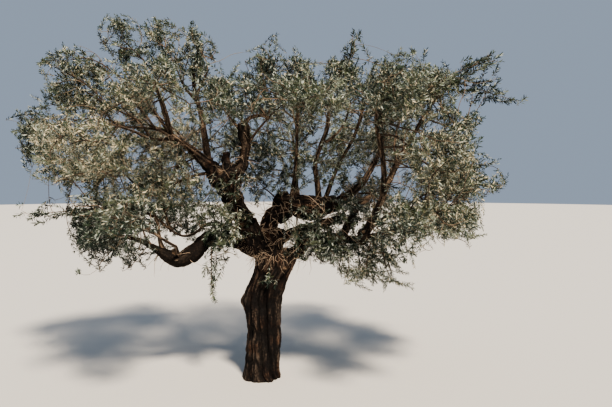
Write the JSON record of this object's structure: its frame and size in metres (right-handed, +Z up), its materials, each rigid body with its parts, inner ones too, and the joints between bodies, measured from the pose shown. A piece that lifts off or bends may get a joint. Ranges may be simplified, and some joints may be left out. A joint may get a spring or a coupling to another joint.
{
  "type": "olive tree",
  "caption": "Whole old olive tree with a short fluted leaning trunk, crooked pruned boughs and a wide open crown of grey-green foliage, cut flat at ground level.",
  "frame": {"origin": "middle of the trunk's flat cut at ground level", "axes": "+X to the right of the crown as seen from the front, -Y to the front, +Z up"},
  "size_m": [6.609, 4.5231, 4.7791],
  "materials": {
    "old_bark": "deeply fissured matte bark",
    "young_bark": "smooth grey bark of thin limbs and twigs",
    "foliage": "satin leaves with silvery undersides"
  },
  "bodies": {
    "root": {"trunk": "old_bark", "bough_left_root": "old_bark", "bough_left_fan_arm": "old_bark", "bough_left_fan_steep": "young_bark", "bough_left_upright": "young_bark", "bough_left_pruned": "old_bark", "bough_low_left_elbow": "old_bark", "bough_low_left_reach": "old_bark", "bough_arch_rise": "old_bark", "bough_arch": "old_bark", "bough_arch_right": "old_bark", "bough_arch_upright_left": "young_bark", "bough_arch_upright_mid": "young_bark", "bough_arch_upright_right": "young_bark", "bough_right_arm": "old_bark", "bough_right_arm_end": "young_bark", "bough_right_riser": "old_bark", "bough_right_riser_left": "young_bark", "bough_right_inner": "young_bark", "bough_back_left": "old_bark", "bough_back_middle": "young_bark", "bough_front_left": "young_bark", "bough_front_right": "young_bark", "mass_left_tip": "foliage", "mass_left_shoulder": "foliage", "mass_left_crest": "foliage", "mass_top_left": "foliage", "mass_top_peak": "foliage", "mass_top_brow": "foliage", "mass_left_brow": "foliage", "mass_left_heart": "foliage", "mass_left_side": "foliage", "mass_left_inside": "foliage", "mass_low_left_outer": "foliage", "mass_low_left_fore": "foliage", "mass_left_fore": "foliage", "mass_left_top_fore": "foliage", "mass_top_middle": "foliage", "mass_top_dip": "foliage", "mass_top_right_inner": "foliage", "mass_spire": "foliage", "mass_top_right": "foliage", "mass_top_right_outer": "foliage", "mass_right_spray_high": "foliage", "mass_right_spray_far": "foliage", "mass_right_bulge": "foliage", "mass_right_side": "foliage", "mass_right_low": "foliage", "mass_right_skirt": "foliage", "mass_under_arm": "foliage", "mass_right_fore": "foliage", "mass_right_low_fore": "foliage", "mass_top_dip_fore": "foliage", "mass_top_right_fore": "foliage", "mass_back_left": "foliage", "mass_back_middle": "foliage", "mass_back_right": "foliage", "mass_back_low_left": "foliage", "mass_back_low_right": "foliage"}
  },
  "joints": []
}
